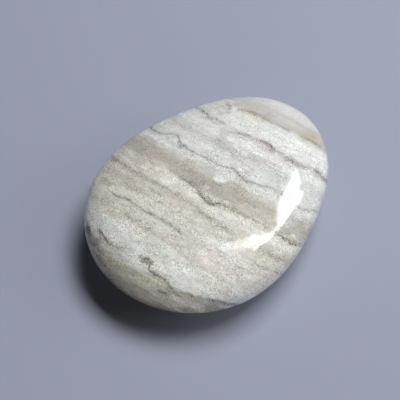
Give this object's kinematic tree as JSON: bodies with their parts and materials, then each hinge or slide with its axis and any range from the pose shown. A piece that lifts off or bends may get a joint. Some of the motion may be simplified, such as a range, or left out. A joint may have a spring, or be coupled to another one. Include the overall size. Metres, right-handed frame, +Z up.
{
  "type": "palm stone",
  "caption": "Polished egg-shaped palm stone of banded jasper, gently domed, with a small flat to rest on. Made to be held, or set out as an ornament or paperweight.",
  "frame": {"origin": "on the plane that the stone rests on, under the middle of its length and width", "axes": "+X along the stone's length towards its narrow end, +Y across its width, +Z up through the crown of the dome"},
  "size_m": [0.063, 0.049, 0.021],
  "materials": {
    "banded_jasper": "glossy hand polish over pale grey, greenish white and beige wavy bands with thin dark veins and a fine speckle"
  },
  "bodies": {
    "root": {"stone": "banded_jasper"}
  },
  "joints": []
}
